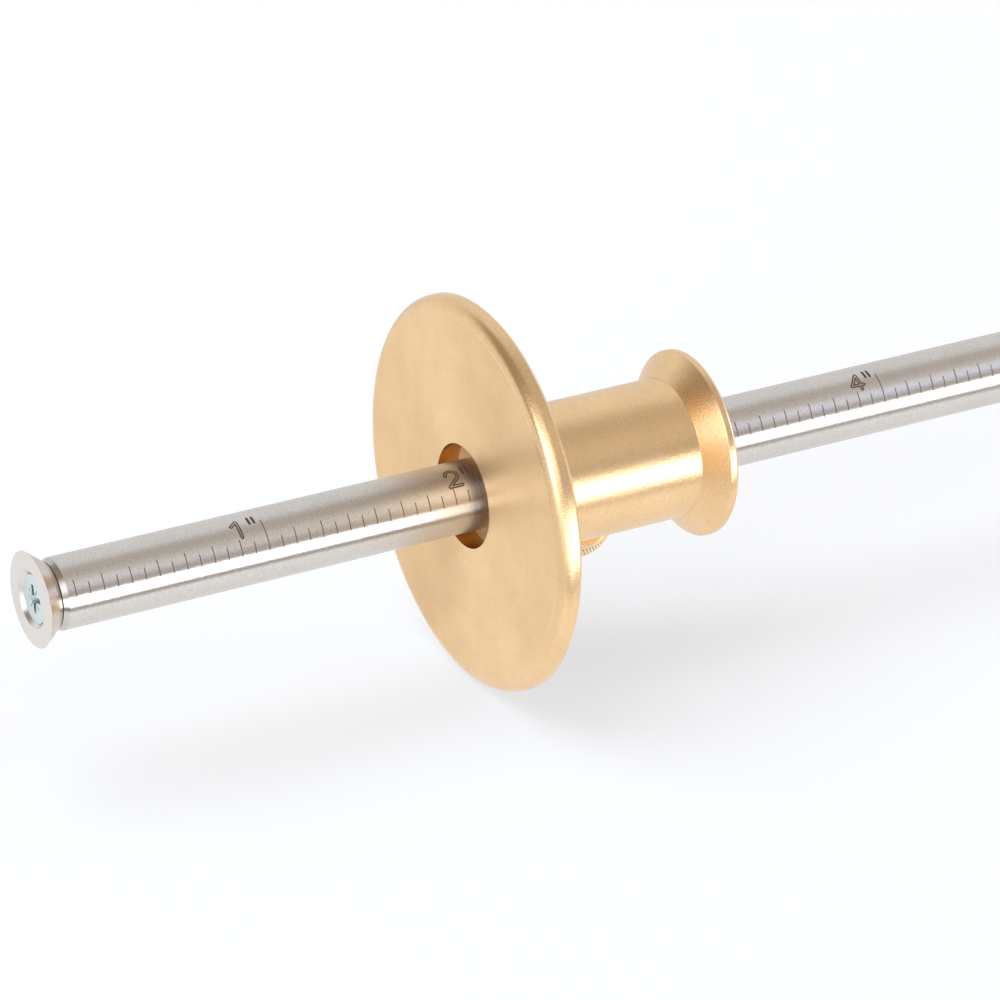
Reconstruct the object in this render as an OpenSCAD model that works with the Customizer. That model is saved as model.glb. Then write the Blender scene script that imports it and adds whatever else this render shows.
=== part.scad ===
// Wheel marking gauge: a graduated rod with a cutting wheel on its end slides through a turned
// brass head whose flat fence rides along the edge of the work.
// The origin is the centre of the fence's working face. The rod lies along X, its cutter toward -X.

/* [Head] */
// Diameter of the fence disc
fence_d = 43.7; // [36:0.1:60]
// Thickness of the fence disc
fence_t = 2.5; // [2.2:0.1:6]
// Rounding of the fence's front edge
fence_edge_r = 1.6; // [0.5:0.1:1.8]
// Chamfer of the fence's back edge
fence_back_chamfer = 0.4; // [0.1:0.05:0.5]
// Diameter of the barrel behind the fence
barrel_d = 15.6; // [14:0.1:20]
// Length of the plain barrel, from the fence to the flare
barrel_l = 22.8; // [20:0.1:40]
// Diameter of the flared tail
flare_d = 20.8; // [18:0.1:30]
// Length of the cone between barrel and tail rim
flare_cone_l = 1.9; // [1:0.1:6]
// Width of the tail's rim
flare_rim_w = 1.3; // [1:0.1:4]
// Rounding of the tail's rim
flare_rim_r = 0.45; // [0.1:0.05:0.5]
// Chamfer at the mouths of the bore and of the cutter's recess
mouth_chamfer = 0.2; // [0.1:0.05:0.4]

/* [Rod] */
// Diameter of the rod
rod_d = 7.8; // [6.5:0.1:8.5]
// Length of the rod
rod_l = 203.2; // [120:0.1:320]
// Chamfer at both ends of the rod
rod_chamfer = 0.6; // [0.1:0.05:0.8]
// Distance set between the cutting edge and the fence face
reach = 50.6; // [5:0.1:75]

/* [Scale] */
// Length of the scale in inches
scale_inches = 6; // [2:1:8]
// Distance from the cutting edge back to the scale's zero
scale_offset = 0.35; // [0:0.05:1]
// Width of an engraved line
mark_w = 0.18; // [0.1:0.01:0.3]
// Depth of an engraved line
mark_depth = 0.06; // [0.03:0.01:0.15]
// Length of a sixteenth line around the rod
sixteenth_l = 1.3; // [0.8:0.1:2]
// Length of an eighth line around the rod
eighth_l = 1.8; // [1:0.1:3]
// Length of an inch line around the rod
inch_l = 3.6; // [2:0.1:5]
// Angle of the scale's base line, from the front side of the rod upward
scale_angle = 17; // [0:1:60]

/* [Cutter] */
// Diameter of the cutting wheel
cutter_d = 10.4; // [9:0.1:12]
// Thickness of the cutting wheel
cutter_t = 1.9; // [1.8:0.1:3]
// Step from the rod's surface in to the back edge of the wheel
cutter_step = 0.2; // [0.1:0.05:0.6]
// Gap between the wheel's edge and the wall of its recess
recess_gap = 0.6; // [0.2:0.05:0.8]
// Depth of the recess beyond the wheel's thickness
recess_spare = 0.7; // [0.2:0.05:1.5]

/* [Cutter screw] */
// Diameter of the screw's shank
screw_d = 3; // [2.5:0.1:3.5]
// Length of the screw in the rod
screw_grip = 7; // [4:0.1:12]
// Diameter of the screw's countersunk head
screw_head_d = 5.3; // [4.8:0.1:5.6]
// Height of the straight land round the head
screw_land = 0.15; // [0.05:0.05:0.3]
// Depth of the head below the wheel's face
screw_sink = 0.32; // [0.1:0.01:0.5]
// Rim of the head left round the cross recess
cross_rim = 1.05; // [0.9:0.05:1.5]
// Width of each arm of the cross recess
cross_w = 0.7; // [0.4:0.05:1]
// Depth of the cross recess
cross_depth = 0.9; // [0.5:0.1:1]

/* [Lock screw] */
// Distance from the fence's back to the lock screw's axis
lock_setback = 13; // [9:0.1:14]
// Angle of the lock screw, from straight down toward the far side
lock_angle = 37; // [0:1:90]
// Diameter of the lock screw's thread
lock_thread_d = 4; // [3:0.1:5]
// Diameter of the knurled knob
knob_d = 12; // [9:0.1:16]
// Thickness of the knurled knob
knob_t = 2.2; // [1.8:0.1:8]
// Gap between the knob and the barrel when it is tight
knob_gap = 0.4; // [0.2:0.05:3]
// Chamfer of the knob's edges
knob_chamfer = 0.3; // [0.1:0.05:0.5]
// Pitch of the knurl around the knob
knurl_pitch = 0.42; // [0.3:0.01:1.5]
// Depth of the knurl
knurl_depth = 0.25; // [0.1:0.05:0.3]
// Flat ledge between the knurl's grooves and the knob's chamfers
knurl_ledge = 0.1; // [0.05:0.05:0.3]
// Thickness of the pad between the lock screw and the rod
pad_t = 1.3; // [0.8:0.1:2]

/* [Friction ring] */
// Thickness of the ring's round section
ring_section = 1.5; // [1:0.1:2]
// Distance from the tail's end face to the middle of the ring
ring_inset = 7; // [5:0.1:8]
// Side clearance of the ring in its groove
ring_side_gap = 0.1; // [0.05:0.01:0.3]

/* [Fits] */
// Radial clearance of the rod in the bore and of threads in their holes
running_gap = 0.05; // [0.02:0.01:0.09]
// Clearance between pieces that bear on each other
contact_gap = 0.02; // [0.01:0.01:0.05]

/* [Hidden] */
$fn = 128;
inch = 25.4;
divisions = 16;
first_division = 2;
past = 1;

fence_r = fence_d / 2;
barrel_r = barrel_d / 2;
flare_r = flare_d / 2;
flare_x = fence_t + barrel_l;
rim_x = flare_x + flare_cone_l;
head_l = rim_x + flare_rim_w;

rod_r = rod_d / 2;
bore_r = rod_r + running_gap;
cutter_x = -reach;
rod_x = cutter_x + cutter_t + contact_gap;
scale_x = cutter_x + scale_offset;

cutter_r = cutter_d / 2;
cutter_back_r = rod_r - cutter_step;
recess_r = cutter_r + recess_gap;
recess_depth = cutter_t + recess_spare;

screw_r = screw_d / 2;
screw_head_r = screw_head_d / 2;
screw_hole_r = screw_r + running_gap;
screw_cone_x = screw_sink + screw_land;
countersink_r = screw_head_r + running_gap + screw_cone_x;
screw_end = cutter_t + contact_gap + screw_grip;
cross_l = screw_head_d - 2 * cross_rim;

ring_r = ring_section / 2;
ring_x = head_l - ring_inset;
ring_mid_r = rod_r + contact_gap + ring_r;
groove_r = ring_mid_r + ring_r + running_gap;
groove_w = ring_section + 2 * ring_side_gap;

lock_x = fence_t + lock_setback;
lock_r = lock_thread_d / 2;
lock_hole_r = lock_r + running_gap;
pad_h = rod_r + contact_gap;
lock_tip_h = pad_h + pad_t + contact_gap;
knob_h = barrel_r + knob_gap;
knob_r = knob_d / 2;
knurl_teeth = round(PI * knob_d / knurl_pitch);

// Turns a profile drawn as (radius, distance along the rod) about the rod's axis
module turned() {
    rotate([0, 90, 0])
    rotate_extrude()
    children();
}

// Puts a piece that points along Z on the lock screw's axis, with Z outward from the rod
module on_lock_axis() {
    translate([lock_x, 0, 0])
    rotate([180 + lock_angle, 0, 0])
    children();
}

// Plain rectangle in a turned profile, from radius r0 to r1 and from x0 to x1
module band(r0, r1, x0, x1) {
    translate([r0, x0])
    square([r1 - r0, x1 - x0]);
}

// Disc with a rounded front edge and a chamfered back edge
module fence_profile() {
    band(0, fence_r - fence_edge_r, 0, fence_t - fence_back_chamfer);
    band(0, fence_r, fence_edge_r, fence_t - fence_back_chamfer);
    intersection() {
        translate([fence_r - fence_edge_r, fence_edge_r])
        circle(fence_edge_r);
        band(fence_r - fence_edge_r, fence_r, 0, fence_edge_r);
    }
    polygon([
        [0, fence_t - fence_back_chamfer],
        [fence_r, fence_t - fence_back_chamfer],
        [fence_r - fence_back_chamfer, fence_t],
        [0, fence_t]
    ]);
}

// Cone that widens from the barrel to a rim with rounded edges
module flare_profile() {
    polygon([
        [0, flare_x],
        [barrel_r, flare_x],
        [flare_r - flare_rim_r, rim_x],
        [0, rim_x]
    ]);
    band(0, flare_r - flare_rim_r, rim_x, head_l);
    band(0, flare_r, rim_x + flare_rim_r, head_l - flare_rim_r);
    for (x = [rim_x + flare_rim_r, head_l - flare_rim_r])
        translate([flare_r - flare_rim_r, x])
        circle(flare_rim_r);
}

// Chamfer of a round mouth of radius r, cut at x into material that lies toward side
module mouth_profile(r, x, side) {
    polygon([
        [0, x - side * past],
        [r + mouth_chamfer, x - side * past],
        [r + mouth_chamfer, x],
        [r, x + side * mouth_chamfer],
        [0, x + side * mouth_chamfer]
    ]);
}

module fence_head() {
    color([0.80, 0.62, 0.34])
    difference() {
        turned()
        difference() {
            union() {
                fence_profile();
                band(0, barrel_r, 0, flare_x);
                flare_profile();
            }
            band(0, bore_r, -past, head_l + past);
            band(0, recess_r, -past, recess_depth);
            mouth_profile(recess_r, 0, 1);
            mouth_profile(bore_r, head_l, -1);
            band(0, groove_r, ring_x - groove_w / 2, ring_x + groove_w / 2);
        }
        on_lock_axis()
        cylinder(r = lock_hole_r, h = barrel_r + past);
    }
}

module friction_ring() {
    color([0.12, 0.12, 0.12])
    turned()
    translate([ring_mid_r, ring_x])
    circle(ring_r);
}

// Row of engraved lines of one length: every step-th division from first, leaving out each skip-th one
module marks(first, step, skip, length) {
    sweep = length / rod_r * 180 / PI;
    last = min(scale_inches * divisions, floor((rod_l + rod_x - scale_x) / inch * divisions) - 1);
    rotate([0, 90, 0])
    rotate_extrude(angle = sweep, start = 270 - scale_angle - sweep)
    for (i = [first : step : last])
        if (i % skip != 0)
            translate([rod_r - mark_depth, scale_x + i * inch / divisions - mark_w / 2])
            square([mark_depth + past, mark_w]);
}

module graduated_rod() {
    color([0.72, 0.72, 0.73])
    difference() {
        turned()
        difference() {
            polygon([
                [0, rod_x],
                [rod_r - rod_chamfer, rod_x],
                [rod_r, rod_x + rod_chamfer],
                [rod_r, rod_x + rod_l - rod_chamfer],
                [rod_r - rod_chamfer, rod_x + rod_l],
                [0, rod_x + rod_l]
            ]);
            band(0, screw_hole_r, rod_x - past, rod_x + screw_grip + past);
        }
        marks(first_division + 1, 2, 2, sixteenth_l);
        marks(first_division, 2, divisions, eighth_l);
        marks(divisions, divisions, scale_inches * divisions + 1, inch_l);
    }
}

module cutter_wheel() {
    color([0.78, 0.77, 0.76])
    translate([cutter_x, 0, 0])
    turned()
    difference() {
        polygon([
            [0, 0],
            [cutter_r, 0],
            [cutter_back_r, cutter_t],
            [0, cutter_t]
        ]);
        band(0, screw_hole_r, -past, cutter_t + past);
        polygon([
            [0, -past],
            [countersink_r, -past],
            [countersink_r, 0],
            [0, countersink_r]
        ]);
    }
}

// Arms of a cross recess, sunk to depth below z = 0
module cross_recess(span, width, depth) {
    for (turn = [0, 90])
        rotate([0, 0, turn])
        translate([-span / 2, -width / 2, -past])
        cube([span, width, depth + past]);
}

module cutter_screw() {
    color([0.80, 0.86, 0.88])
    translate([cutter_x, 0, 0])
    difference() {
        turned()
        polygon([
            [0, screw_sink],
            [screw_head_r, screw_sink],
            [screw_head_r, screw_cone_x],
            [screw_r, screw_cone_x + screw_head_r - screw_r],
            [screw_r, screw_end],
            [0, screw_end]
        ]);
        translate([screw_sink, 0, 0])
        rotate([0, 90, 0])
        cross_recess(cross_l, cross_w, cross_depth);
    }
}

// Outline of a straight knurl: one ridge and one groove for each tooth
module knurl_outline(r, depth, teeth) {
    polygon([
        for (i = [0 : 2 * teeth - 1])
            (r - (i % 2) * depth) * [cos(180 * i / teeth), sin(180 * i / teeth)]
    ]);
}

module lock_screw() {
    core_r = knob_r - knurl_depth - knurl_ledge;
    color([0.82, 0.62, 0.30])
    on_lock_axis() {
        translate([0, 0, lock_tip_h])
        cylinder(r = lock_r, h = knob_h + knob_t / 2 - lock_tip_h);
        translate([0, 0, knob_h])
        rotate_extrude()
        polygon([
            [0, 0],
            [core_r - knob_chamfer, 0],
            [core_r, knob_chamfer],
            [core_r, knob_t - knob_chamfer],
            [core_r - knob_chamfer, knob_t],
            [0, knob_t]
        ]);
        translate([0, 0, knob_h + knob_chamfer])
        linear_extrude(knob_t - 2 * knob_chamfer)
        knurl_outline(knob_r, knurl_depth, knurl_teeth);
    }
}

module clamp_pad() {
    color([0.90, 0.88, 0.80])
    on_lock_axis()
    translate([0, 0, pad_h])
    cylinder(r = lock_r, h = pad_t);
}

fence_head();
friction_ring();
graduated_rod();
cutter_wheel();
cutter_screw();
lock_screw();
clamp_pad();
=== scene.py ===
"""Looks of the wheel marking gauge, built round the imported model.

Sizes are in mm, as in the part's source, and angles in degrees. Meshes are in metres.
"""

import math

import bpy
import numpy as np
from mathutils import Matrix, Vector


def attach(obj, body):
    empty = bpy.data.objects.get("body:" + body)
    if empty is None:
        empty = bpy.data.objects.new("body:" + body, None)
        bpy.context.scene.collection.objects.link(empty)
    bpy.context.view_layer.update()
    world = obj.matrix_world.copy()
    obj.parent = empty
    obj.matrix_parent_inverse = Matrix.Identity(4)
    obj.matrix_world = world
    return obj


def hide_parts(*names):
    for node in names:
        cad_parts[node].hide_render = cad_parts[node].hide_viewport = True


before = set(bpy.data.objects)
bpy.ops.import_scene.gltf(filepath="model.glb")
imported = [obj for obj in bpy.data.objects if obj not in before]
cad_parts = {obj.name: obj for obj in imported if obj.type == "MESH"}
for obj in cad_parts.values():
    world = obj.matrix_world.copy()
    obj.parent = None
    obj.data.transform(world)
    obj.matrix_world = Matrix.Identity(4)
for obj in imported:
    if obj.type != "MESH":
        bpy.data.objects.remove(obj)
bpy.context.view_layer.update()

MM = 0.001
TINY = 1e-12

# Radii of the edges that a tool leaves, and the angle between points of an arc
SHARP = 0.03
EDGE = 0.05
SOFT = 0.06
ARC_STEP = math.radians(12)

# Head, along X from the fence's face to the tail
FENCE_R = 21.85
FENCE_T = 2.5
FENCE_EDGE_R = 1.6
FENCE_CHAMFER = 0.4
BARREL_R = 7.8
BARREL_FILLET = 0.25
FLARE_X = 25.3
FLARE_R = 10.4
FLARE_FILLET = 0.12
RIM_X = 27.5
RIM_FRONT_R = 0.35
RIM_BACK_R = 0.45
HEAD_L = 28.5
BORE_R = 3.95
MOUTH = 0.2
RECESS_R = 5.8
RECESS_DEPTH = 2.6
DISH_W = 0.28
DISH_DEPTH = 0.075
DISH_R = 0.2
RING_X = 21.5
GROOVE_R = 5.47
GROOVE_HALF = 0.85

# Rod: the nose lies a small gap behind the wheel
ROD_R = 3.9
ROD_X = -48.68
ROD_END = 154.52
TAIL_CHAMFER = 0.6
TAIL_EDGE = 0.1
TAIL_RUN = 1.2
NOSE_X = ROD_X + 0.1
NOSE_L = 0.62
NOSE_DROP = 0.34
NOSE_EDGE = 0.15
NOSE_RUN = 0.15
TAP_R = 1.55
TAP_DEPTH = 8.0
TAP_MOUTH = 0.15

# Scale, with the lengths of its lines by how many sixteenths of an inch they mark
SCALE_X = -50.25
PER_INCH = 16
DIVISION = 25.4 / PER_INCH
INCHES = 6
FIRST_MARK = 2
MARK_L = {1: 1.3, 2: 1.8, PER_INCH: 3.6}
MARK_W = 0.12
MARK_DEPTH = 0.03
MARK_WALL = 0.03
BASE_DEG = 17.0
LINE_STEP = 2.5
LINE_ROOM = 0.7
SAME_DEG = 1e-6

# Numerals and inch signs: room, place before the inch line, angle round the rod and half the stroke's width
NUMERAL_SIZE = (1.9, 2.35)
NUMERAL_BACK = 3.62
NUMERAL_DEG = 44.0
NUMERAL_HALF = 0.13
OUTLINE_HALF = 0.085
SIGN_SIZE = (1.0, 1.2)
SIGN_BACK = 1.45
SIGN_DEG = 64.5
SIGN_HALF = 0.15
GRID_STEP = 0.045
GRID_MARGIN = 0.3
INLAY_PROUD = 0.004
INLAY_DEPTH = 0.03

# Cutter, and how much its bevel faces the tail
CUTTER_X = -50.6
CUTTER_R = 5.2
CUTTER_T = 1.9
CUTTER_BACK_R = 3.7
CUTTING_EDGE = 0.012
SINK_R = 3.17
BEVEL_LEAST = 0.2
BEVEL_MOST = 0.95

# Cutter screw, its cross by (depth, half length and half width of an arm, web), and the ticks beside it
SCREW_X = CUTTER_X + 0.32
SCREW_END = CUTTER_X + 8.92
SCREW_HEAD_R = 2.65
SCREW_HEAD_EDGE = 0.04
SCREW_LAND = 0.15
SCREW_R = 1.5
SCREW_NECK = 0.1
SCREW_TIP = 0.3
CROSS_DEG = 12.0
CROSS_LEVELS = [
    (-0.3, 1.68, 0.34, 0.34),
    (0, 1.56, 0.29, 0.32),
    (0.75, 0.92, 0.22, 0.17),
    (1.0, 0.32, 0.17, 0.05),
]
TICK_DEG = 45
TICK_FROM = 0.72
TICK_TO = 1.50
TICK_FLOOR_TO = 1.42
TICK_HALF = 0.11
TICK_DEPTH = 0.16
TICK_CLEAR = 0.1

# Lock screw's shank, by height above the rod's axis
LOCK_X = 15.5
LOCK_DEG = 37.0
LOCK_R = 2.0
LOCK_HOLE_R = 2.05
LOCK_TIP = 5.24
LOCK_TIP_R = 1.5
LOCK_TIP_L = 0.3
THREAD_PITCH = 0.7
THREAD_DEPTH = 0.22
THREAD_STEP = 0.07
THREAD_END = 0.15
SHANK_END = 0.2
THREAD_SHARP_DEG = 40

# Its knob, with the edge by (height, how far inside the core) and the dimple by (depth, radius)
KNOB_H = 8.2
KNOB_TOP = 10.4
KNOB_T = KNOB_TOP - KNOB_H
KNOB_R = 6.0
KNOB_CORE = KNOB_R - 0.26
KNOB_CHAMFER = 0.2
KNURL_TEETH = 90
KNURL_DEPTH = 0.24
KNURL_PITCH = 0.74
KNURL_ROWS = 19
PIT_DEPTH = 0.15
KNOB_EDGE = [(0, 0.25), (0.02, 0.20), (0.16, 0)]
KNOB_SHARP_DEG = 28
DIMPLE = [(0, 1.6), (0.12, 1.35), (0.16, 0)]

# How many sides the turned pieces have
HEAD_TURNS = 288
HOLE_TURNS = 96
CUTTER_TURNS = 256
SCREW_TURNS = 128
SHANK_TURNS = 72
KNOB_TURNS = KNURL_TEETH * 8

# Material slots of the pieces that have more than one, past the first
CUT_FACE = 1
HEAD_BORE = 1
HEAD_FACE = 2
RECESS_FLOOR = 3
ROD_MARK = 1
ROD_NOSE_SHADE = 2
ROD_JOINT_SHADE = 3
CUTTER_BEVEL = 1
KNOB_PIT_SHADE = 1


# Turned shapes

def turned_path(corners, closed):
    """Points (x, r) and outward normals along a profile whose corners (x, r, radius) are turned by arcs.

    The profile runs up the front, along the outside toward the tail, and back along the inside.
    """
    spots = [np.array([x, r], float) for x, r, _ in corners]
    count = len(spots)
    points, normals = [], []
    for i, (_, _, radius) in enumerate(corners):
        if not closed and i in (0, count - 1):
            other = spots[1] if i == 0 else spots[-2]
            along = (other - spots[i]) if i == 0 else (spots[i] - other)
            along = along / np.linalg.norm(along)
            points.append(spots[i])
            normals.append(np.array([-along[1], along[0]]))
            continue
        before = spots[i] - spots[i - 1]
        after = spots[(i + 1) % count] - spots[i]
        before = before / np.linalg.norm(before)
        after = after / np.linalg.norm(after)
        turn = math.atan2(before[0] * after[1] - before[1] * after[0], before @ after)
        normal = np.array([-before[1], before[0]])
        start = spots[i] - before * radius * math.tan(abs(turn) / 2)
        side = -1.0 if turn < 0 else 1.0
        centre = start + side * normal * radius
        steps = max(2, math.ceil(abs(turn) / ARC_STEP))
        for k in range(steps + 1):
            a = turn * k / steps
            n = np.array([math.cos(a) * normal[0] - math.sin(a) * normal[1],
                          math.sin(a) * normal[0] + math.cos(a) * normal[1]])
            points.append(centre - side * n * radius)
            normals.append(n)
    return np.array(points), np.array(normals)


def new_object(name, verts, faces, normals=None):
    """A mesh object from points in mm, with smooth shading and its own normals where they are given."""
    mesh = bpy.data.meshes.new(name)
    mesh.from_pydata([tuple(v) for v in np.asarray(verts) * MM], [], faces)
    mesh.shade_smooth()
    if normals is not None:
        mesh.normals_split_custom_set_from_vertices([tuple(n) for n in normals])
    obj = bpy.data.objects.new(name, mesh)
    bpy.context.scene.collection.objects.link(obj)
    return obj


def spin(points, normals, thetas, closed):
    """Vertices, normals and faces of a profile turned about X, by angles from the front (-Y) upward.

    A point on the axis is a single vertex.
    """
    verts, vert_normals, rings = [], [], []
    turns = len(thetas)
    round_y, round_z = -np.cos(thetas), np.sin(thetas)
    for (x, r), (nx, nr) in zip(points, normals):
        if r < TINY:
            rings.append([len(verts)] * turns)
            verts.append((x, 0.0, 0.0))
            vert_normals.append((math.copysign(1.0, nx), 0.0, 0.0))
            continue
        rings.append(list(range(len(verts), len(verts) + turns)))
        verts.extend(np.stack([np.full(turns, x), r * round_y, r * round_z], 1))
        vert_normals.extend(np.stack([np.full(turns, nx), nr * round_y, nr * round_z], 1))
    faces = []
    for j in range(len(rings) if closed else len(rings) - 1):
        here, there = rings[j], rings[(j + 1) % len(rings)]
        for i in range(turns):
            k = (i + 1) % turns
            loop = [here[i], there[i], there[k], here[k]]
            faces.append(list(dict.fromkeys(loop)))
    return np.array(verts), np.array(vert_normals), faces


def lathe(name, corners, turns, closed=True):
    """A turned piece, with the exact normals of its profile."""
    points, normals = turned_path(corners, closed)
    thetas = np.arange(turns) * 2 * math.pi / turns
    verts, vert_normals, faces = spin(points, normals, thetas, closed)
    return new_object(name, verts, faces, vert_normals)


def cut(obj, tool, corners, near=0.02, same_way=0.5):
    """Takes the tool away from a turned piece, and gives the faces left on its profile their normals again.

    Such a face is near the profile, in mm, and its normal points the same way. The others are cut faces.
    """
    change = obj.modifiers.new("cut", "BOOLEAN")
    change.operation = "DIFFERENCE"
    change.solver = "EXACT"
    change.object = tool
    graph = bpy.context.evaluated_depsgraph_get()
    mesh = bpy.data.meshes.new_from_object(obj.evaluated_get(graph))
    obj.modifiers.clear()
    obj.data = mesh
    bpy.data.objects.remove(tool)
    points, normals = turned_path(corners, True)
    step = np.roll(points, -1, 0) - points
    length2 = np.maximum((step ** 2).sum(1), TINY)

    def on_profile(p):
        """How far a point is from the profile, and the profile's normal there."""
        q = np.array([p[0], math.hypot(p[1], p[2])]) / MM
        t = np.clip(((q - points) * step).sum(1) / length2, 0, 1)
        away = np.linalg.norm(points + t[:, None] * step - q, axis=1)
        j = int(away.argmin())
        n = normals[j] * (1 - t[j]) + normals[(j + 1) % len(normals)] * t[j]
        n = n / np.linalg.norm(n)
        r = max(math.hypot(p[1], p[2]), TINY)
        return away[j], (n[0], n[1] * p[1] / r, n[1] * p[2] / r)

    known = [on_profile(v.co)[1] for v in mesh.vertices]
    corner_normals = [None] * len(mesh.loops)
    for face in mesh.polygons:
        away, towards = on_profile(face.center)
        turned = away < near and face.normal.dot(Vector(towards)) > same_way
        face.material_index = 0 if turned else CUT_FACE
        for loop in face.loop_indices:
            corner_normals[loop] = known[mesh.loops[loop].vertex_index] if turned else tuple(face.normal)
    mesh.shade_smooth()
    mesh.normals_split_custom_set(corner_normals)


# Shapes about the lock screw's axis

lock_out = Vector((0, math.sin(math.radians(LOCK_DEG)), -math.cos(math.radians(LOCK_DEG))))
lock_side = Vector((1, 0, 0))
lock_up = lock_out.cross(lock_side)


def about_lock(h, r, theta):
    """Point at height h out along the lock screw's axis, at a radius and an angle from it."""
    p = Vector((LOCK_X, 0, 0)) + lock_out * h
    return tuple(p + lock_side * (r * math.cos(theta)) + lock_up * (r * math.sin(theta)))


def rows_about_lock(rows, turns):
    """Vertices and faces of a closed piece about the lock axis from rows (h, r or a function of theta)."""
    verts, faces, rings = [], [], []
    for h, r in rows:
        if not callable(r) and r < TINY:
            rings.append([len(verts)] * turns)
            verts.append(about_lock(h, 0, 0))
            continue
        rings.append(list(range(len(verts), len(verts) + turns)))
        for i in range(turns):
            theta = 2 * math.pi * i / turns
            verts.append(about_lock(h, r(theta) if callable(r) else r, theta))
    for here, there in zip(rings, rings[1:]):
        for i in range(turns):
            k = (i + 1) % turns
            faces.append(list(dict.fromkeys([here[i], here[k], there[k], there[i]])))
    return verts, faces


def triangle(u):
    """1 at whole numbers, 0 halfway between."""
    return abs(2 * (u - math.floor(u)) - 1)


def soft_edges(obj, degrees):
    """Smooth shading, apart from edges that turn by more than an angle."""
    obj.data.shade_smooth()
    obj.data.set_sharp_from_angle(angle=math.radians(degrees))


# Head

HEAD_CORNERS = [
    (DISH_DEPTH, RECESS_R, SHARP),
    (0, RECESS_R + DISH_W, DISH_R),
    (0, FENCE_R, FENCE_EDGE_R),
    (FENCE_T - FENCE_CHAMFER, FENCE_R, EDGE),
    (FENCE_T, FENCE_R - FENCE_CHAMFER, EDGE),
    (FENCE_T, BARREL_R, BARREL_FILLET),
    (FLARE_X, BARREL_R, FLARE_FILLET),
    (RIM_X, FLARE_R, RIM_FRONT_R),
    (HEAD_L, FLARE_R, RIM_BACK_R),
    (HEAD_L, BORE_R + MOUTH, SOFT),
    (HEAD_L - MOUTH, BORE_R, SOFT),
    (RING_X + GROOVE_HALF, BORE_R, EDGE),
    (RING_X + GROOVE_HALF, GROOVE_R, EDGE),
    (RING_X - GROOVE_HALF, GROOVE_R, EDGE),
    (RING_X - GROOVE_HALF, BORE_R, EDGE),
    (RECESS_DEPTH, BORE_R, SOFT),
    (RECESS_DEPTH, RECESS_R, EDGE),
]


def head_slot(face, end=0.3, room=0.05, level=0.01, flat=0.002, steep=0.7):
    """Material slot of a face of the head: bore and recess wall with painted shade, front face, recess floor
    with painted light, or as it is.
    """
    x, r = face.center.x / MM, math.hypot(face.center.y, face.center.z) / MM
    if end < x < HEAD_L - end and r < RECESS_R + room and abs(face.normal.x) < steep:
        return HEAD_BORE
    if x < flat and r < FENCE_R - FENCE_EDGE_R:
        return HEAD_FACE
    if abs(x - RECESS_DEPTH) < level:
        return RECESS_FLOOR
    return face.material_index


head = lathe("head_turned", HEAD_CORNERS, HEAD_TURNS)
hole_top = BARREL_R + 1
hole_rows = [(0, 0), (0, LOCK_HOLE_R), (hole_top, LOCK_HOLE_R), (hole_top, 0)]
hole = new_object("hole_tool", *rows_about_lock(hole_rows, HOLE_TURNS))
cut(head, hole, HEAD_CORNERS)
for face in head.data.polygons:
    face.material_index = head_slot(face)
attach(head, "head")
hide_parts("fence_head")


# Rod with its engraved lines

def rod_slot(face, sunk, joint=0.1, room=0.03):
    """Material slot of a face of the rod: scale line, painted shade in the joint behind the wheel, front
    chamfer in darker steel as painted shade, or plain.
    """
    x, r = face.center.x / MM, math.hypot(face.center.y, face.center.z) / MM
    if any(v in sunk for v in face.vertices):
        return ROD_MARK
    if r < ROD_R - NOSE_DROP + room and x < NOSE_X + joint:
        return ROD_JOINT_SHADE
    return ROD_NOSE_SHADE if x < NOSE_X + NOSE_L else 0


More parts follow.
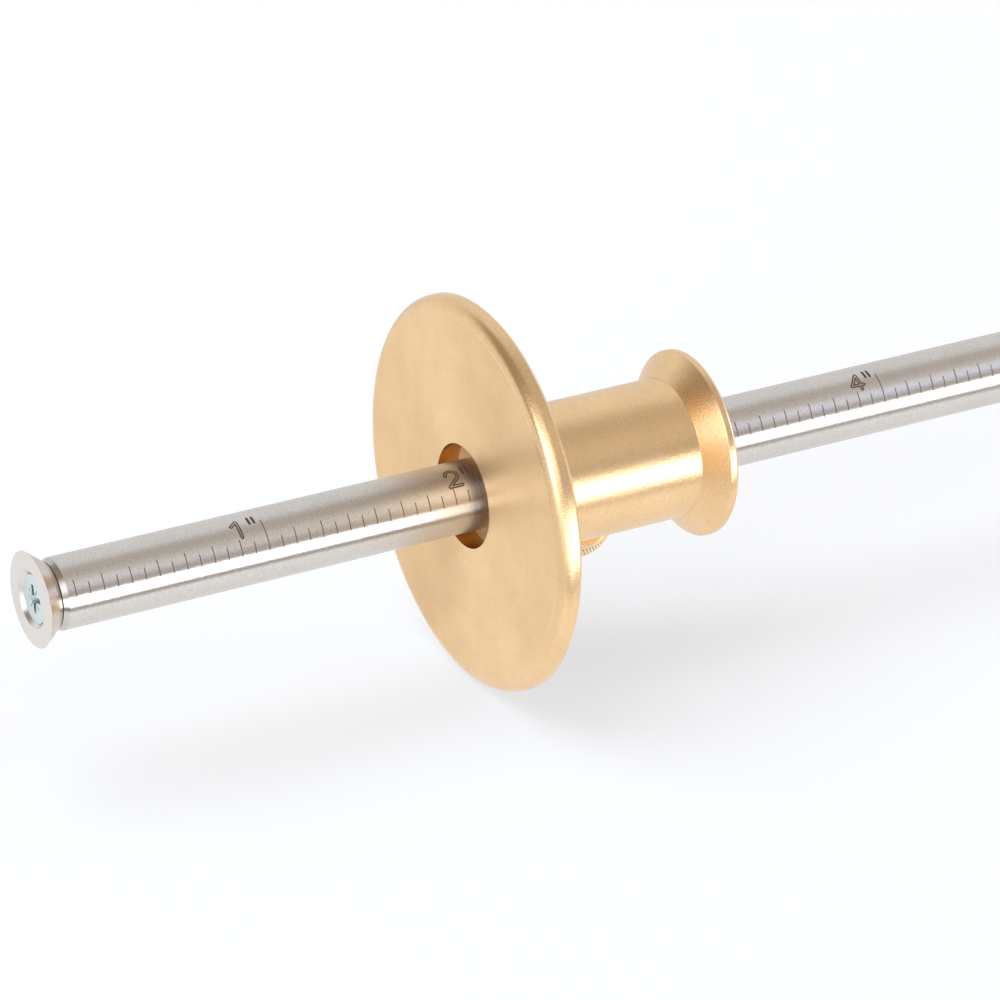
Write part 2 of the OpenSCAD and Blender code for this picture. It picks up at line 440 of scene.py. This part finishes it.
def rod_mesh():
    """The rod as a grid of rings and lines, with the scale's lines sunk into it. Returns the object."""
    arc = math.degrees(1 / ROD_R)
    tops = {kind: BASE_DEG + length * arc for kind, length in MARK_L.items()}
    slope = MARK_WALL * arc
    special = [BASE_DEG, BASE_DEG + slope] + [d for t in tops.values() for d in (t - slope, t)]
    plain = [d for d in np.arange(0, 360, LINE_STEP) if min(abs(d - s) for s in special) > LINE_ROOM]
    degrees = np.array(sorted(plain + special))

    front, front_normals = turned_path([
        (ROD_X + TAP_DEPTH, 0, 0), (ROD_X + TAP_DEPTH, TAP_R, EDGE),
        (NOSE_X + TAP_MOUTH, TAP_R, SHARP), (NOSE_X, TAP_R + TAP_MOUTH, SHARP),
        (NOSE_X, ROD_R - NOSE_DROP, NOSE_EDGE), (NOSE_X + NOSE_L, ROD_R, SOFT),
        (NOSE_X + NOSE_L + NOSE_RUN, ROD_R, 0)], False)
    back, back_normals = turned_path([
        (ROD_END - TAIL_RUN, ROD_R, 0), (ROD_END - TAIL_CHAMFER, ROD_R, TAIL_EDGE),
        (ROD_END, ROD_R - TAIL_CHAMFER, TAIL_EDGE), (ROD_END, 0, 0)], False)
    marks = range(FIRST_MARK, INCHES * PER_INCH + 1)
    # Each line of the scale has four rings, at the top and the foot of its two walls
    half, inner = MARK_W / 2, MARK_W / 2 - MARK_WALL
    xs = [SCALE_X + mark * DIVISION + side for mark in marks for side in (-half, -inner, inner, half)]
    middle = np.stack([xs, np.full(len(xs), ROD_R)], 1)
    points = np.concatenate([front, middle, back])
    normals = np.concatenate([front_normals, np.tile([0.0, 1.0], (len(xs), 1)), back_normals])
    verts, vert_normals, faces = spin(points, normals, np.radians(degrees), False)

    # The rings at the foot are sunk. The first ring past the front follows a single vertex on the axis
    turns = len(degrees)
    first = 1 + (len(front) - 1) * turns
    sunk = set()
    for n, mark in enumerate(marks):
        top = tops[max(kind for kind in tops if mark % kind == 0)]
        inside = [i for i, d in enumerate(degrees)
                  if BASE_DEG + slope - SAME_DEG <= d <= top - slope + SAME_DEG]
        for line in (4 * n + 1, 4 * n + 2):
            sunk.update(first + line * turns + i for i in inside)
    for v in sunk:
        verts[v, 1:] *= (ROD_R - MARK_DEPTH) / ROD_R
    obj = new_object("rod_engraved", verts, faces)
    corner_normals = []
    for face in obj.data.polygons:
        face.material_index = rod_slot(face, sunk)
        wall = 0 < sum(v in sunk for v in face.vertices) < len(face.vertices)
        corner_normals += [tuple(face.normal if wall else vert_normals[v]) for v in face.vertices]
    obj.data.normals_split_custom_set(corner_normals)
    return obj


rod = rod_mesh()
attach(rod, "rod")
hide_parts("graduated_rod")


# Numerals of the scale, as closed inlays a hair above the rod's surface

def arc_points(cx, cy, rx, ry, start, end, steps):
    """Points along an arc of an ellipse."""
    return [(cx + rx * math.cos(math.radians(a)), cy + ry * math.sin(math.radians(a)))
            for a in np.linspace(start, end, steps)]


DIGITS = {
    1: [[(0.20, 1.66), (0.92, 2.16), (0.92, 0.18)]],
    2: [arc_points(0.88, 1.52, 0.68, 0.66, 172, -38, 24) + [(0.20, 0.20), (1.66, 0.20)]],
    3: [arc_points(0.86, 1.68, 0.62, 0.50, 155, -90, 22) + arc_points(0.86, 0.71, 0.70, 0.53, 90, -155, 24)],
    4: [[(1.24, 0.18), (1.24, 2.14), (0.16, 0.72), (1.66, 0.72)]],
    5: [[(1.52, 2.16), (0.36, 2.16), (0.28, 1.22)] + arc_points(0.86, 0.84, 0.74, 0.66, 140, -150, 26)],
    6: [[(1.36, 2.16), (0.62, 1.36)] + arc_points(0.88, 0.80, 0.70, 0.62, 130, 490, 34)],
}
INCH_SIGN = [[(0.16, 1.0), (0.16, 0.16)], [(0.70, 1.0), (0.70, 0.16)]]


def distance(grid_x, grid_y, strokes):
    """Distance from each grid point to the nearest stroke."""
    best = np.full(grid_x.shape, np.inf)
    for stroke in strokes:
        for (ax, ay), (bx, by) in zip(stroke, stroke[1:]):
            dx, dy = bx - ax, by - ay
            t = np.clip(((grid_x - ax) * dx + (grid_y - ay) * dy) / max(dx * dx + dy * dy, TINY), 0, 1)
            best = np.minimum(best, np.hypot(grid_x - ax - t * dx, grid_y - ay - t * dy))
    return best


def filled(level, grid_x, grid_y):
    """Points and polygons of the area where level is above 0, cut smoothly through the grid's squares."""
    points, index, polygons = [], {}, []

    def corner(p):
        if p not in index:
            index[p] = len(points)
            points.append((grid_x[p], grid_y[p]))
        return index[p]

    def crossing(a, b, room=0.02):
        key = (min(a, b), max(a, b))
        if key not in index:
            p, q = key
            t = level[p] / (level[p] - level[q])
            t = min(max(t, room), 1 - room)
            index[key] = len(points)
            points.append(tuple(side[p] + t * (side[q] - side[p]) for side in (grid_x, grid_y)))
        return index[key]

    rows, columns = level.shape
    for i in range(rows - 1):
        for j in range(columns - 1):
            square = [(i, j), (i + 1, j), (i + 1, j + 1), (i, j + 1)]
            inside = [level[c] > 0 for c in square]
            if not any(inside):
                continue
            if inside in ([True, False, True, False], [False, True, False, True]):
                for n in range(4):
                    if inside[n]:
                        polygons.append([corner(square[n]), crossing(square[n], square[(n + 1) % 4]),
                                         crossing(square[n], square[n - 1])])
                continue
            loop = []
            for n in range(4):
                here, there = square[n], square[(n + 1) % 4]
                if inside[n]:
                    loop.append(corner(here))
                if inside[n] != inside[(n + 1) % 4]:
                    loop.append(crossing(here, there))
            polygons.append(loop)
    return points, polygons


def inlay(name, level, grid_x, grid_y, left, degrees):
    """A closed inlay on the rod, from a flat area laid round it from its left side and its foot."""
    points, polygons = filled(level, grid_x, grid_y)
    count = len(points)
    verts = []
    for r in (ROD_R + INLAY_PROUD, ROD_R - INLAY_DEPTH):
        for u, v in points:
            a = math.radians(degrees) + v / ROD_R
            verts.append((left + u, -r * math.cos(a), r * math.sin(a)))
    faces, edges = [], {}
    for p in polygons:
        faces.append(p)
        faces.append([v + count for v in reversed(p)])
        for a, b in zip(p, p[1:] + p[:1]):
            edges[(a, b)] = True
    for a, b in edges:
        if (b, a) not in edges:
            faces.append([b, a, a + count, b + count])
    obj = new_object(name, verts, faces)
    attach(obj, "rod")
    return obj


def grid(size):
    """Points over a room of a size, with a margin round it."""
    steps = [np.arange(-GRID_MARGIN, side + GRID_MARGIN, GRID_STEP) for side in size]
    return np.meshgrid(*steps, indexing="ij")


numerals = []
for inch in range(1, INCHES + 1):
    mark_x = SCALE_X + inch * PER_INCH * DIVISION
    grid_x, grid_y = grid(NUMERAL_SIZE)
    outline = OUTLINE_HALF - abs(distance(grid_x, grid_y, DIGITS[inch]) - NUMERAL_HALF)
    numerals.append(inlay(f"numeral_{inch}", outline, grid_x, grid_y, mark_x - NUMERAL_BACK, NUMERAL_DEG))
    grid_x, grid_y = grid(SIGN_SIZE)
    sign = SIGN_HALF - distance(grid_x, grid_y, INCH_SIGN)
    numerals.append(inlay(f"inch_sign_{inch}", sign, grid_x, grid_y, mark_x - SIGN_BACK, SIGN_DEG))


# Cutting wheel

CUTTER_CORNERS = [
    (CUTTER_X, SINK_R, EDGE),
    (CUTTER_X, CUTTER_R, CUTTING_EDGE),
    (CUTTER_X + CUTTER_T, CUTTER_BACK_R, EDGE),
    (CUTTER_X + CUTTER_T, TAP_R, SHARP),
    (CUTTER_X + SINK_R - TAP_R, TAP_R, SHARP),
]
cutter = lathe("cutter_bevelled", CUTTER_CORNERS, CUTTER_TURNS)
for face in cutter.data.polygons:
    if BEVEL_LEAST < face.normal.x < BEVEL_MOST:
        face.material_index = CUTTER_BEVEL
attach(cutter, "cutter")
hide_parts("cutter_wheel")


# Cutter screw with a cross recess

def cross_outline(span, width, web):
    """Outline of a cross by the half length and half width of its arms, with webs between them."""
    quarter = [(span, -width), (span, width), (width + web, width), (width, width + web)]
    loop = []
    for n in range(4):
        c, s = round(math.cos(n * math.pi / 2)), round(math.sin(n * math.pi / 2))
        loop += [(c * u - s * v, s * u + c * v) for u, v in quarter]
    c, s = math.cos(math.radians(CROSS_DEG)), math.sin(math.radians(CROSS_DEG))
    return [(c * u + s * v, c * v - s * u) for u, v in loop]


def cross_tool():
    """Tapered cross that points into the screw's face."""
    levels = [(SCREW_X + depth, cross_outline(*sizes)) for depth, *sizes in CROSS_LEVELS]
    verts = [(x, u, v) for x, loop in levels for u, v in loop]
    count = len(levels[0][1])
    faces = [list(reversed(range(count))), [count * (len(levels) - 1) + n for n in range(count)]]
    for level in range(len(levels) - 1):
        for n in range(count):
            a, b = level * count + n, level * count + (n + 1) % count
            faces.append([a, b, b + count, a + count])
    return new_object("cross_tool", verts, faces)


def tick_tool(degrees):
    """A short wedge, cut into the screw's face between two arms of the cross."""
    a = math.radians(degrees - CROSS_DEG)
    c, s = math.cos(a), math.sin(a)
    top, floor_x = SCREW_X - TICK_CLEAR, SCREW_X + TICK_DEPTH
    wedge = [(top, TICK_FROM, -TICK_HALF), (top, TICK_TO, -TICK_HALF), (top, TICK_TO, TICK_HALF),
             (top, TICK_FROM, TICK_HALF), (floor_x, TICK_FROM, 0.0), (floor_x, TICK_FLOOR_TO, 0.0)]
    verts = [(x, c * u - s * v, s * u + c * v) for x, u, v in wedge]
    return new_object("tick_tool", verts, [[3, 2, 1, 0], [0, 1, 5, 4], [2, 3, 4, 5], [1, 2, 5], [3, 0, 4]])


SCREW_CORNERS = [
    (SCREW_X, 0, 0),
    (SCREW_X, SCREW_HEAD_R, SOFT),
    (SCREW_X + SCREW_LAND, SCREW_HEAD_R, SCREW_HEAD_EDGE),
    (SCREW_X + SCREW_LAND + SCREW_HEAD_R - SCREW_R, SCREW_R, SCREW_NECK),
    (SCREW_END - SCREW_TIP, SCREW_R, EDGE),
    (SCREW_END, SCREW_R - SCREW_TIP, EDGE),
    (SCREW_END, 0, 0),
]
screw = lathe("cutter_screw_head", SCREW_CORNERS, SCREW_TURNS, closed=False)
cut(screw, cross_tool(), SCREW_CORNERS)
for n in range(4):
    cut(screw, tick_tool(TICK_DEG + 90 * n), SCREW_CORNERS)
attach(screw, "rod")
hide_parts("cutter_screw")


# Lock screw: diamond-knurled knob and threaded shank

def knurl(h):
    """Radius round the knob at height h above its inner face: crossing grooves leave small pyramids."""
    def radius(theta):
        a, b = KNURL_TEETH * theta / (2 * math.pi), h / KNURL_PITCH
        return KNOB_R - KNURL_DEPTH * (1 - min(triangle(a + b), triangle(a - b)))
    return radius


knob_rows = [(KNOB_H, 0)]
knob_rows += [(KNOB_H + h, KNOB_CORE - inside) for h, inside in KNOB_EDGE]
knob_rows += [(KNOB_H + h, knurl(h)) for h in np.linspace(KNOB_CHAMFER, KNOB_T - KNOB_CHAMFER, KNURL_ROWS)]
knob_rows += [(KNOB_TOP - h, KNOB_CORE - inside) for h, inside in reversed(KNOB_EDGE)]
knob_rows += [(KNOB_TOP - depth, r) for depth, r in DIMPLE]
knob = new_object("lock_knob", *rows_about_lock(knob_rows, KNOB_TURNS))
soft_edges(knob, KNOB_SHARP_DEG)
# Faces deep in the knurl take painted shade
for face in knob.data.polygons:
    out = face.center / MM - Vector((LOCK_X, 0, 0))
    h = out.dot(lock_out)
    knurled = KNOB_CHAMFER < h - KNOB_H < KNOB_T - KNOB_CHAMFER
    if knurled and (out - lock_out * h).length < KNOB_R - PIT_DEPTH:
        face.material_index = KNOB_PIT_SHADE
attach(knob, "lock")
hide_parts("lock_screw")


def thread(h):
    """Radius round the shank at height h."""
    return lambda theta: LOCK_R - THREAD_DEPTH * triangle(h / THREAD_PITCH - theta / (2 * math.pi))


thread_rows = [(LOCK_TIP, 0), (LOCK_TIP, LOCK_TIP_R)]
thread_rows += [(h, thread(h)) for h in np.arange(LOCK_TIP + LOCK_TIP_L, KNOB_H + THREAD_END, THREAD_STEP)]
thread_rows += [(KNOB_H + SHANK_END, 0)]
shank = new_object("lock_thread", *rows_about_lock(thread_rows, SHANK_TURNS))
soft_edges(shank, THREAD_SHARP_DEG)
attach(shank, "lock")


# Materials

BUMP_DEPTH = 0.02
CLOUDS_PER_M = 160.0
RING_SHARE = 0.16
RINGS_PER_M = 8000.0
CHANGES_PER_M = 220.0
QUARTER_TURN = 0.25


class Nodes:
    """Adds nodes to a tree: an input given a socket is linked, and any other value is set on it."""

    def __init__(self, tree):
        self.tree = tree

    def add(self, kind, inputs=None, **props):
        """A new node with its properties and inputs set."""
        node = self.tree.nodes.new(kind)
        for key, value in props.items():
            setattr(node, key, value)
        for key, value in (inputs or {}).items():
            self.put(node.inputs[key], value)
        return node

    def put(self, socket, value):
        if isinstance(value, bpy.types.NodeSocket):
            self.tree.links.new(value, socket)
        else:
            socket.default_value = value

    def math(self, operation, a, b=0.0):
        return self.add("ShaderNodeMath", {0: a, 1: b}, operation=operation).outputs[0]

    def vector(self, operation, a, b, output=0):
        return self.add("ShaderNodeVectorMath", {0: a, 1: b}, operation=operation).outputs[output]

    def span(self, value, low, high, to_low=0.0, to_high=1.0):
        """A value whose range from low to high is mapped to another range."""
        return self.add("ShaderNodeMapRange", {0: value, 1: low, 2: high, 3: to_low, 4: to_high}).outputs[0]

    def noise(self, vector, scale, detail, roughness=0.5):
        inputs = {"Vector": vector, "Scale": scale, "Detail": detail, "Roughness": roughness}
        return self.add("ShaderNodeTexNoise", inputs).outputs[0]

    def mix(self, factor, a, b):
        return self.add("ShaderNodeMix", {0: factor, 6: a, 7: b}, data_type="RGBA").outputs[2]

    def bump(self, height, strength, under=None):
        """A bumped normal, over another one where it is given."""
        inputs = {"Height": height, "Strength": strength, "Distance": BUMP_DEPTH * MM}
        if under is not None:
            inputs["Normal"] = under
        return self.add("ShaderNodeBump", inputs).outputs[0]


def material(name):
    """A new material, its nodes and its shader."""
    mat = bpy.data.materials.new(name)
    mat.use_nodes = True
    return mat, Nodes(mat.node_tree), mat.node_tree.nodes["Principled BSDF"]


def turning(nodes, on_lock):
    """Place, and a vector for noise in rings round the X axis or the lock screw's axis."""
    place = nodes.add("ShaderNodeTexCoord").outputs["Object"]
    turned = place
    if on_lock:
        out = nodes.vector("SUBTRACT", place, (LOCK_X * MM, 0, 0))
        turned = nodes.add("ShaderNodeCombineXYZ", {
            n: nodes.vector("DOT_PRODUCT", out, tuple(axis), "Value")
            for n, axis in enumerate((lock_out, lock_side, lock_up))}).outputs[0]
    part = nodes.add("ShaderNodeSeparateXYZ", {0: turned})
    flat = nodes.add("ShaderNodeCombineXYZ", {"Y": part.outputs["Y"], "Z": part.outputs["Z"]}).outputs[0]
    rho = nodes.add("ShaderNodeVectorMath", {0: flat}, operation="LENGTH").outputs["Value"]
    slow = nodes.math("MULTIPLY", nodes.math("ADD", part.outputs["Y"], part.outputs["Z"]), CHANGES_PER_M)
    ring = nodes.add("ShaderNodeCombineXYZ", {
        "X": nodes.math("MULTIPLY", part.outputs["X"], RINGS_PER_M),
        "Y": nodes.math("MULTIPLY", rho, RINGS_PER_M), "Z": slow}).outputs[0]
    return place, ring


def metal(name, colour, dark, roughness, spread, anisotropy=0.0, ring_bump=0.05, grain_bump=0.1,
          grain_size=0.22, cloudy=0.32, on_lock=False):
    """Turned or ground metal: rings from the tool, fine grain of a size in mm, and slow changes of tone."""
    mat, nodes, bsdf = material(name)
    place, ring = turning(nodes, on_lock)
    rings = nodes.noise(ring, scale=1.0, detail=3.0, roughness=0.6)
    grain = nodes.noise(place, scale=1 / (grain_size * MM), detail=2.0)
    cloud = nodes.noise(place, scale=CLOUDS_PER_M, detail=4.0, roughness=0.6)
    fine = nodes.math("ADD", nodes.span(rings, 0.35, 0.65, 0.0, RING_SHARE),
                      nodes.span(grain, 0.30, 0.70, 0.0, 1 - RING_SHARE - cloudy))
    tone = nodes.math("ADD", nodes.span(cloud, 0.35, 0.65, 0.0, cloudy), fine)
    nodes.put(bsdf.inputs["Base Color"], nodes.mix(tone, (*colour, 1), (*dark, 1)))
    bsdf.inputs["Metallic"].default_value = 1.0
    nodes.put(bsdf.inputs["Roughness"], nodes.span(cloud, 0.3, 0.7, roughness - spread, roughness + spread))
    nodes.put(bsdf.inputs["Normal"], nodes.bump(grain, grain_bump, nodes.bump(rings, ring_bump)))
    if anisotropy:
        bsdf.inputs["Anisotropic"].default_value = anisotropy
        bsdf.inputs["Anisotropic Rotation"].default_value = QUARTER_TURN
        tangent = nodes.add("ShaderNodeTangent", direction_type="RADIAL", axis="X")
        nodes.put(bsdf.inputs["Tangent"], tangent.outputs[0])
    return mat


def dull(name, colour, other, roughness, scale=4000.0, spread=0.08):
    """A dark mark, painted shade, rubber or plastic, with small spots of another tone."""
    mat, nodes, bsdf = material(name)
    place = nodes.add("ShaderNodeTexCoord").outputs["Object"]
    spots = nodes.noise(place, scale, detail=3.0)
    nodes.put(bsdf.inputs["Base Color"], nodes.mix(nodes.span(spots, 0.3, 0.7), (*colour, 1), (*other, 1)))
    nodes.put(bsdf.inputs["Roughness"], nodes.span(spots, 0.3, 0.7, roughness - spread, roughness + spread))
    nodes.put(bsdf.inputs["Normal"], nodes.bump(spots, 0.15))
    return mat


brass = metal("turned_brass", (0.96, 0.675, 0.385), (0.77, 0.53, 0.29), roughness=0.27, spread=0.03,
              anisotropy=0.1, ring_bump=0.04, grain_bump=0.7)
faced_brass = metal("faced_brass", (0.99, 0.71, 0.405), (0.79, 0.550, 0.305), roughness=0.41, spread=0.03,
                    anisotropy=0.75, ring_bump=0.04, grain_bump=0.9)
# Darker, more orange brass in the bore, the recess wall and the lock screw's hole: painted shade inside the
# head
inner_brass_painted_shade = metal("bore_brass_painted_shade", (0.66, 0.36, 0.115), (0.52, 0.27, 0.08), roughness=0.24, spread=0.04,
                    ring_bump=0.08, grain_bump=0.2)
# Paler brass on the recess floor: painted light, so that the floor shows bright though the recess shades it
recess_floor_painted_light = metal("recess_floor_brass_painted_light", (1.0, 0.86, 0.62), (0.98, 0.82, 0.56), roughness=0.42, spread=0.04,
                    anisotropy=0.9, grain_bump=0.3)
# Paler brass on the knob and the shank: painted light that brightens the lock screw
lock_brass_painted_light = metal("knurled_brass", (1.0, 0.82, 0.56), (0.92, 0.71, 0.44), roughness=0.24, spread=0.03,
                     ring_bump=0.12, on_lock=True)
# Darker brass at the foot of the knurl's teeth: painted shade in its pits
knurl_pit_painted_shade = metal("knurl_pits_painted_shade", (0.82, 0.60, 0.37), (0.68, 0.47, 0.28), roughness=0.35, spread=0.05,
                  on_lock=True)
steel = metal("ground_steel", (0.745, 0.715, 0.683), (0.61, 0.585, 0.558), roughness=0.24, spread=0.02,
              anisotropy=1.0, ring_bump=0.08, grain_bump=0.35, grain_size=0.18, cloudy=0.12)
# Darker steel on the rod's front chamfer: painted shade where the wheel hides it from the light
edge_steel_painted_shade = metal("edge_steel_painted_shade", (0.62, 0.60, 0.575), (0.53, 0.51, 0.485), roughness=0.16, spread=0.02,
                   ring_bump=0.02)
tool_steel = metal("tool_steel", (0.80, 0.765, 0.735), (0.71, 0.67, 0.64), roughness=0.24, spread=0.03,
                   anisotropy=0.2, ring_bump=0.03, grain_bump=0.2)
# Darker, warmer steel on the wheel's bevel: painted reflection of the brass fence it faces
bevel_steel_painted_reflection = metal("bevel_steel_painted_reflection", (0.72, 0.65, 0.58), (0.58, 0.52, 0.46), roughness=0.24, spread=0.04,
                    anisotropy=0.2, ring_bump=0.08, grain_bump=0.2)
zinc = metal("bright_zinc", (0.71, 0.80, 0.82), (0.57, 0.67, 0.70), roughness=0.26, spread=0.05,
             ring_bump=0.02, grain_bump=0.4)
# Darker zinc in the screw's cross and ticks: painted shade in the recess
zinc_recess_painted_shade = metal("zinc_recess_painted_shade", (0.56, 0.63, 0.62), (0.34, 0.40, 0.39), roughness=0.26, spread=0.05,
                    ring_bump=0.02, grain_bump=0.3)
burnt = dull("burnt_mark", (0.11, 0.055, 0.026), (0.19, 0.100, 0.050), 0.65, scale=9000.0)
inked = dull("burnt_numeral", (0.060, 0.026, 0.014), (0.10, 0.046, 0.026), 0.7, scale=9000.0)
# Near-black ring in the joint behind the wheel: painted shade where the gap between wheel and rod lies in
# shadow
painted_joint_shade = dull("joint_painted_shade", (0.020, 0.012, 0.009), (0.036, 0.024, 0.018), 0.88)
rubber = dull("nitrile", (0.022, 0.022, 0.023), (0.035, 0.035, 0.036), 0.6)
nylon = dull("nylon", (0.80, 0.77, 0.68), (0.74, 0.71, 0.62), 0.45)

# Materials of each piece, in the order of its slots
finishes = [
    (head, [brass, inner_brass_painted_shade, faced_brass, recess_floor_painted_light]),
    (rod, [steel, burnt, edge_steel_painted_shade, painted_joint_shade]),
    (cutter, [tool_steel, bevel_steel_painted_reflection]),
    (screw, [zinc, zinc_recess_painted_shade]),
    (knob, [lock_brass_painted_light, knurl_pit_painted_shade]),
    (shank, [lock_brass_painted_light]),
    (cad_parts["friction_ring"], [rubber]),
    (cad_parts["clamp_pad"], [nylon]),
]
finishes += [(numeral, [inked]) for numeral in numerals]
for obj, mats in finishes:
    if obj.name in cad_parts:
        obj.data.materials.clear()
    for mat in mats:
        obj.data.materials.append(mat)


# Floor, clear from below and left out of the metal's reflections

FLOOR_GAP = 0.02
FLOOR_Z = -(FENCE_R + FLOOR_GAP)
FLOOR_HALF = 4000.0
floor_corners = [(x * FLOOR_HALF, y * FLOOR_HALF, FLOOR_Z) for x, y in ((-1, -1), (1, -1), (1, 1), (-1, 1))]
floor = new_object("floor", floor_corners, [[0, 1, 2, 3]])
paper, paper_nodes, paper_bsdf = material("pale_paper")
paper_bsdf.inputs["Base Color"].default_value = (0.97, 0.97, 0.97, 1)
paper_bsdf.inputs["Roughness"].default_value = 1.0
paper_bsdf.inputs["Specular IOR Level"].default_value = 0.0
clear = paper_nodes.add("ShaderNodeBsdfTransparent").outputs[0]
behind = paper_nodes.add("ShaderNodeNewGeometry").outputs["Backfacing"]
either = paper_nodes.add("ShaderNodeMixShader", {0: behind, 1: paper_bsdf.outputs[0], 2: clear})
paper_nodes.put(paper.node_tree.nodes["Material Output"].inputs["Surface"], either.outputs[0])
floor.data.materials.append(paper)
floor.visible_glossy = False
floor.visible_shadow = False


# Studio: strips of light along the rod, by (angle round it from the front upward, level)

RIGHT = [(-180, 0.84), (-150, 0.86), (-110, 0.95), (-80, 1.00), (-43, 1.10), (-37, 0.42), (-28, 0.42),
         (-22, 3.6), (1, 3.6), (8, 0.54), (20, 0.48), (28, 0.56), (36, 0.70), (58, 0.70), (78, 0.60),
         (94, 0.60), (116, 0.86), (140, 0.89), (180, 0.84)]
LEFT = [(-180, 0.98), (-150, 1.00), (-100, 1.00), (-43, 1.10), (-37, 0.34), (-28, 0.34), (-22, 2.4),
        (0, 2.4), (6, 0.60), (14, 0.70), (26, 1.5), (36, 2.0), (48, 1.8), (58, 1.3), (68, 0.75),
        (80, 0.38), (132, 0.38), (152, 0.90), (180, 0.95)]
FAR = [(-180, 0.90), (-100, 0.92), (-72, 0.92), (-58, 0.82), (-48, 0.79), (-38, 1.05), (-20, 1.25),
       (10, 1.35), (60, 1.35), (74, 1.00), (88, 0.32), (132, 0.34), (146, 0.72), (160, 0.92), (180, 0.90)]

# Hues of light, the level under which it is dim and the level over which it is a lamp
PLAIN = (1.0, 1.0, 1.0)
WARM = (1.0, 0.93, 0.85)
BROWN = (1.0, 0.85, 0.68)
COOL = (0.95, 1.0, 1.07)
DIM = 0.8
LAMP = 2.0
WORLD_STRENGTH = 2.0

# Where one set of strips gives way to the next, by the X of the direction, and to a plain end past the tail
TO_LEFT = (-0.12, -0.36)
TO_FAR = (-0.55, -0.80)
TO_END = (0.70, 0.90)
END_LEVEL = 0.95

# Round soft boxes: direction, the angles from it between which the edge fades, level and hue
SOFT_BOXES = [
    ((-0.895, -0.315, 0.30), 17, 12, 3.4, (0.88, 1.0, 1.16)),
    ((0.90, -0.30, 0.28), 14, 9, 3.8, (0.80, 1.0, 1.6)),
]

world = bpy.data.worlds.new("studio")
bpy.context.scene.world = world
world.use_nodes = True
sky = Nodes(world.node_tree)
away = sky.add("ShaderNodeTexCoord").outputs["Generated"]
sides = sky.add("ShaderNodeSeparateXYZ", {0: away})
angle = sky.math("ARCTAN2", sides.outputs["Z"], sky.math("MULTIPLY", sides.outputs["Y"], -1.0))
round_rod = sky.span(angle, -math.pi, math.pi)


def tint(level, hue=PLAIN):
    """Colour that gives a level of light at the world's strength."""
    return (*(level / WORLD_STRENGTH * c for c in hue), 1)


def strips(stops, dim_hue):
    """Light by the angle round the rod. Its dim parts have a hue of their own, and its lamps are cool."""
    node = sky.add("ShaderNodeValToRGB", {0: round_rod})
    elements = node.color_ramp.elements
    elements.remove(elements[-1])
    for n, (degrees, level) in enumerate(stops):
        position = degrees / 360 + 0.5
        element = elements[0] if n == 0 else elements.new(position)
        element.position = position
        hue = dim_hue if level < DIM else PLAIN
        element.color = tint(level, COOL if level > LAMP else hue)
    return node.outputs[0]


def soft_box(light, towards, outer, inner, level, hue):
    """The light with a round soft box added to it."""
    facing = sky.vector("DOT_PRODUCT", away, tuple(Vector(towards).normalized()), "Value")
    share = sky.span(facing, math.cos(math.radians(outer)), math.cos(math.radians(inner)))
    return sky.mix(share, light, tint(level, hue))


toward_tail = sides.outputs["X"]
light = sky.mix(sky.span(toward_tail, *TO_LEFT), strips(RIGHT, WARM), strips(LEFT, BROWN))
light = sky.mix(sky.span(toward_tail, *TO_FAR), light, strips(FAR, BROWN))
light = sky.mix(sky.span(toward_tail, *TO_END), light, tint(END_LEVEL))
for box in SOFT_BOXES:
    light = soft_box(light, *box)
background = world.node_tree.nodes["Background"]
sky.put(background.inputs["Color"], light)
background.inputs["Strength"].default_value = WORLD_STRENGTH

# Key lamp, in metres, for the shadow on the floor
key_data = bpy.data.lights.new("key", "AREA")
key_data.size = 2.0
key_data.energy = 19.0
key_data.color = (0.79, 0.885, 1.0)
key = bpy.data.objects.new("key", key_data)
bpy.context.scene.collection.objects.link(key)
key.location = (-0.9, 0.6, 1.9)
key.rotation_euler = Vector(key.location).to_track_quat("Z", "Y").to_euler()
key.visible_glossy = False
key.visible_camera = False

# Light that the floor scatters doesn't meet these pieces, which keeps their shadow pale and free of colour
for obj in (head, rod, cutter, knob):
    obj.visible_diffuse = False


# Camera, fitted to the photograph, in metres

CAMERA_PLACE = (-0.24388, -0.44929, 0.24743)
CAMERA_RIGHT = Vector((0.87506, -0.48401, 0.0))
CAMERA_UP = Vector((0.21118, 0.38181, 0.89979))
camera = bpy.data.objects.new("camera", bpy.data.cameras.new("camera"))
bpy.context.scene.collection.objects.link(camera)
camera.data.sensor_width = 36.0
camera.data.lens = 190.7
camera.data.clip_start = 0.01
camera.data.clip_end = 100.0
turn = Matrix((CAMERA_RIGHT, CAMERA_UP, CAMERA_RIGHT.cross(CAMERA_UP))).transposed()
camera.matrix_world = Matrix.Translation(CAMERA_PLACE) @ turn.to_4x4()
bpy.context.scene.camera = camera
bpy.context.scene.view_settings.view_transform = "Standard"
